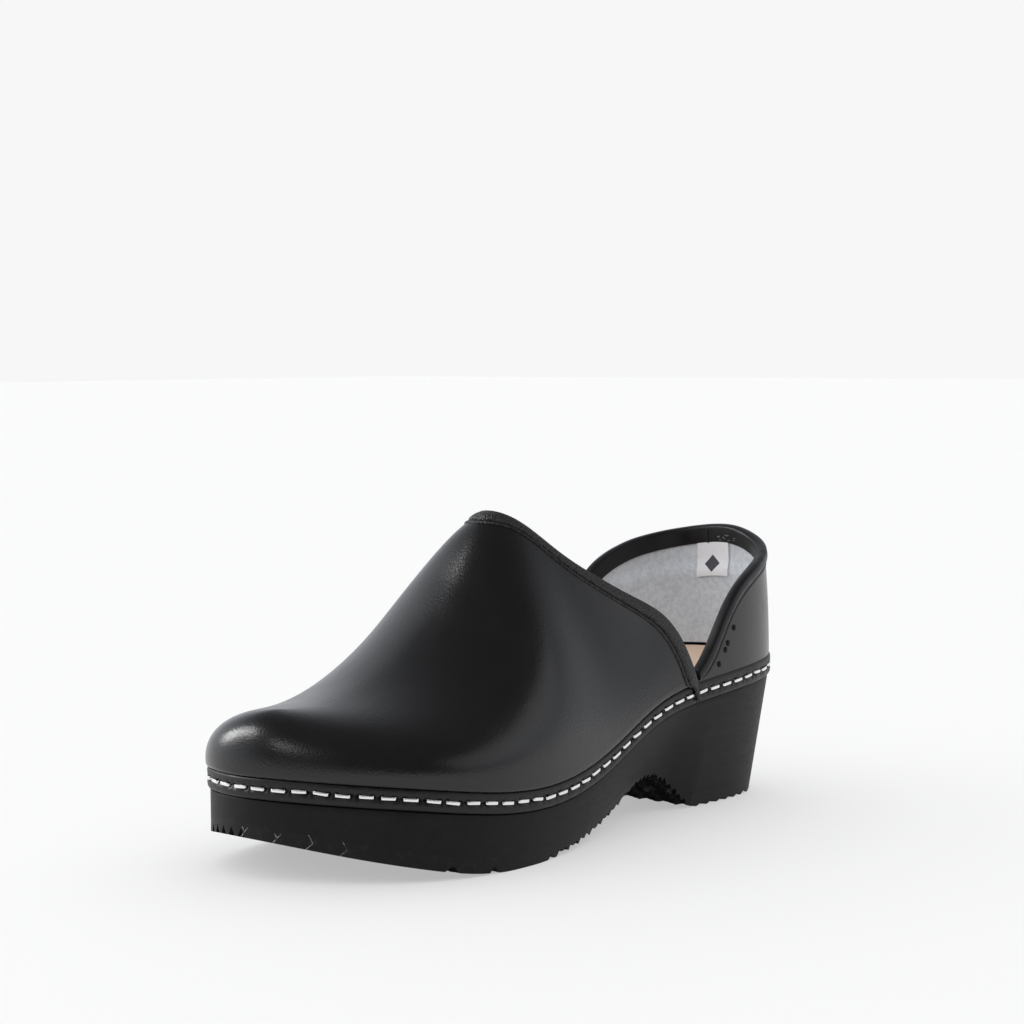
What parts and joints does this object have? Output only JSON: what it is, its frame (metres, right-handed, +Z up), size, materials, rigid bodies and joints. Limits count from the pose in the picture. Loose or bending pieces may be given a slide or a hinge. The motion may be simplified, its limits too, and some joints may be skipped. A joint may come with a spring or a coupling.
{
  "type": "clog",
  "caption": "Closed-back clog for the left foot: black smooth leather upper stapled to a black-stained wooden sole, with a bound collar, pale lining and ridged rubber tread",
  "frame": {"origin": "On the floor, under the middle of the shoe's bounding box.", "axes": "-Y points to the toe and +Y to the heel, +X is the lateral (outer) side of the left foot, +Z is up. The shoe stands as worn, on its ball and heel."},
  "size_m": [0.1054, 0.2634, 0.1195],
  "materials": {
    "black_leather": "smooth oiled leather with a soft shine and a very fine grain",
    "binding_leather": "thin matt leather strip with a fine pebble grain, folded over the edge and stitched",
    "welt_leather": "flat black strip with a rounded face, dull",
    "black_wood": "black-stained and waxed, with fine grain running along the foot",
    "black_rubber": "matt moulded tread rubber",
    "tan_leather": "plain undyed insole leather",
    "pale_lining": "pale grey felt-like lining",
    "stiffener": "pressed fibre board, hidden between leather and lining",
    "staple_steel": "bright galvanised flat wire",
    "white_tape": "plain white woven tape"
  },
  "bodies": {
    "root": {"wooden_sole": "black_wood", "rubber_outsole": "black_rubber", "insock": "tan_leather", "vamp_leather": "black_leather", "quarter_leather": "black_leather", "vamp_lining": "pale_lining", "quarter_lining": "pale_lining", "toe_puff": "stiffener", "heel_counter": "stiffener", "vamp_binding": "binding_leather", "quarter_binding": "binding_leather", "vamp_welt": "welt_leather", "quarter_welt": "welt_leather", "woven_label": "white_tape", "vamp_staple_01": "staple_steel", "vamp_staple_02": "staple_steel", "vamp_staple_03": "staple_steel", "vamp_staple_04": "staple_steel", "vamp_staple_05": "staple_steel", "vamp_staple_06": "staple_steel", "vamp_staple_07": "staple_steel", "vamp_staple_08": "staple_steel", "vamp_staple_09": "staple_steel", "vamp_staple_10": "staple_steel", "vamp_staple_11": "staple_steel", "vamp_staple_12": "staple_steel", "vamp_staple_13": "staple_steel", "vamp_staple_14": "staple_steel", "vamp_staple_15": "staple_steel", "vamp_staple_16": "staple_steel", "vamp_staple_17": "staple_steel", "vamp_staple_18": "staple_steel", "vamp_staple_19": "staple_steel", "vamp_staple_20": "staple_steel", "vamp_staple_21": "staple_steel", "vamp_staple_22": "staple_steel", "vamp_staple_23": "staple_steel", "vamp_staple_24": "staple_steel", "vamp_staple_25": "staple_steel", "vamp_staple_26": "staple_steel", "vamp_staple_27": "staple_steel", "vamp_staple_28": "staple_steel", "vamp_staple_29": "staple_steel", "quarter_staple_01": "staple_steel", "quarter_staple_02": "staple_steel", "quarter_staple_03": "staple_steel", "quarter_staple_04": "staple_steel", "quarter_staple_05": "staple_steel", "quarter_staple_06": "staple_steel", "quarter_staple_07": "staple_steel", "quarter_staple_08": "staple_steel", "quarter_staple_09": "staple_steel", "quarter_staple_10": "staple_steel", "quarter_staple_11": "staple_steel", "quarter_staple_12": "staple_steel", "quarter_staple_13": "staple_steel", "quarter_staple_14": "staple_steel", "quarter_staple_15": "staple_steel"}
  },
  "joints": []
}
